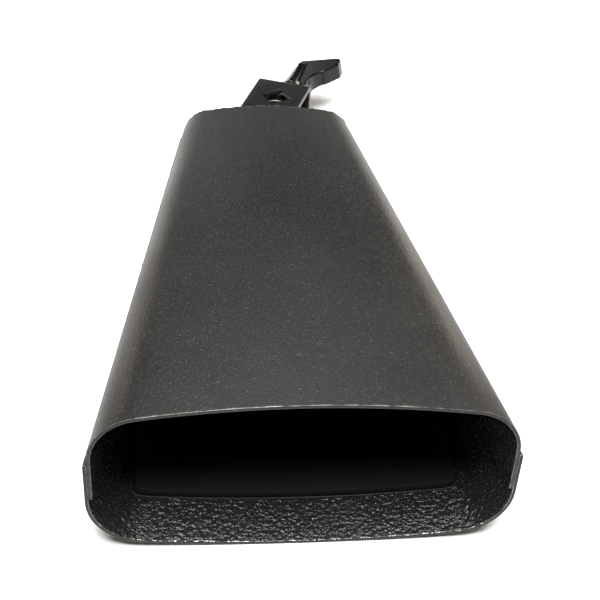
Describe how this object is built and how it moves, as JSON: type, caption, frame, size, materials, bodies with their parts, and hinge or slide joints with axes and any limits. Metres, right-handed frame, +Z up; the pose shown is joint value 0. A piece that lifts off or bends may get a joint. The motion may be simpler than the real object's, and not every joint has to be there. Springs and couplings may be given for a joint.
{
  "type": "cowbell",
  "caption": "Tapered steel cowbell with an oblong mouth, a strap bracket on its closed end, and an eye bolt with a wing lever that clamps it on a mounting rod.",
  "frame": {"origin": "on the ground under the middle of the whole object's box, as the bell lies on its back", "axes": "+X across the mouth to the right as the player faces it, +Y from the mouth towards the closed end, +Z up out of the front face"},
  "size_m": [0.14, 0.2839, 0.0619],
  "materials": {
    "shell_powder_coat": "matte black powder coat, fine texture",
    "coated_weld": "lumpy weld bead under the same coat",
    "bracket_powder_coat": "satin black powder coat",
    "zinc_steel": "dull zinc plate",
    "lever_chrome": "polished nickel-chrome plate",
    "dipped_vinyl": "glossy dipped vinyl",
    "damper_foam": "closed-cell foam, smooth skin",
    "adhesive_tape": "paper-backed adhesive film"
  },
  "bodies": {
    "bell": {"front_shell": "shell_powder_coat", "back_shell": "shell_powder_coat", "end_plate": "shell_powder_coat", "seam_welds": "coated_weld", "end_weld": "coated_weld", "mount_bracket": "bracket_powder_coat", "bracket_welds": "coated_weld", "flat_washer": "zinc_steel", "damper_pad": "damper_foam", "pad_tape": "adhesive_tape"},
    "lever": {"clamp_lever": "lever_chrome", "lever_grip": "dipped_vinyl"},
    "bolt": {"eye_bolt": "zinc_steel"}
  },
  "joints": [
    {"name": "lever_turn", "type": "hinge", "parent": "bell", "child": "lever", "pos_m": [0.01254, 0.11198, 0.01946], "axis": [-0.3502, -0.9357, 0.0426], "range_deg": [0, 900]},
    {"name": "bolt_draw", "type": "slide", "parent": "bell", "child": "bolt", "axis": [0.3502, 0.9357, -0.0426], "range_m": [0, 0.00317]}
  ],
  "couplings": [
    {"joint": "bolt_draw", "follows": "lever_turn", "m_per_rad": 0.00020213}
  ]
}
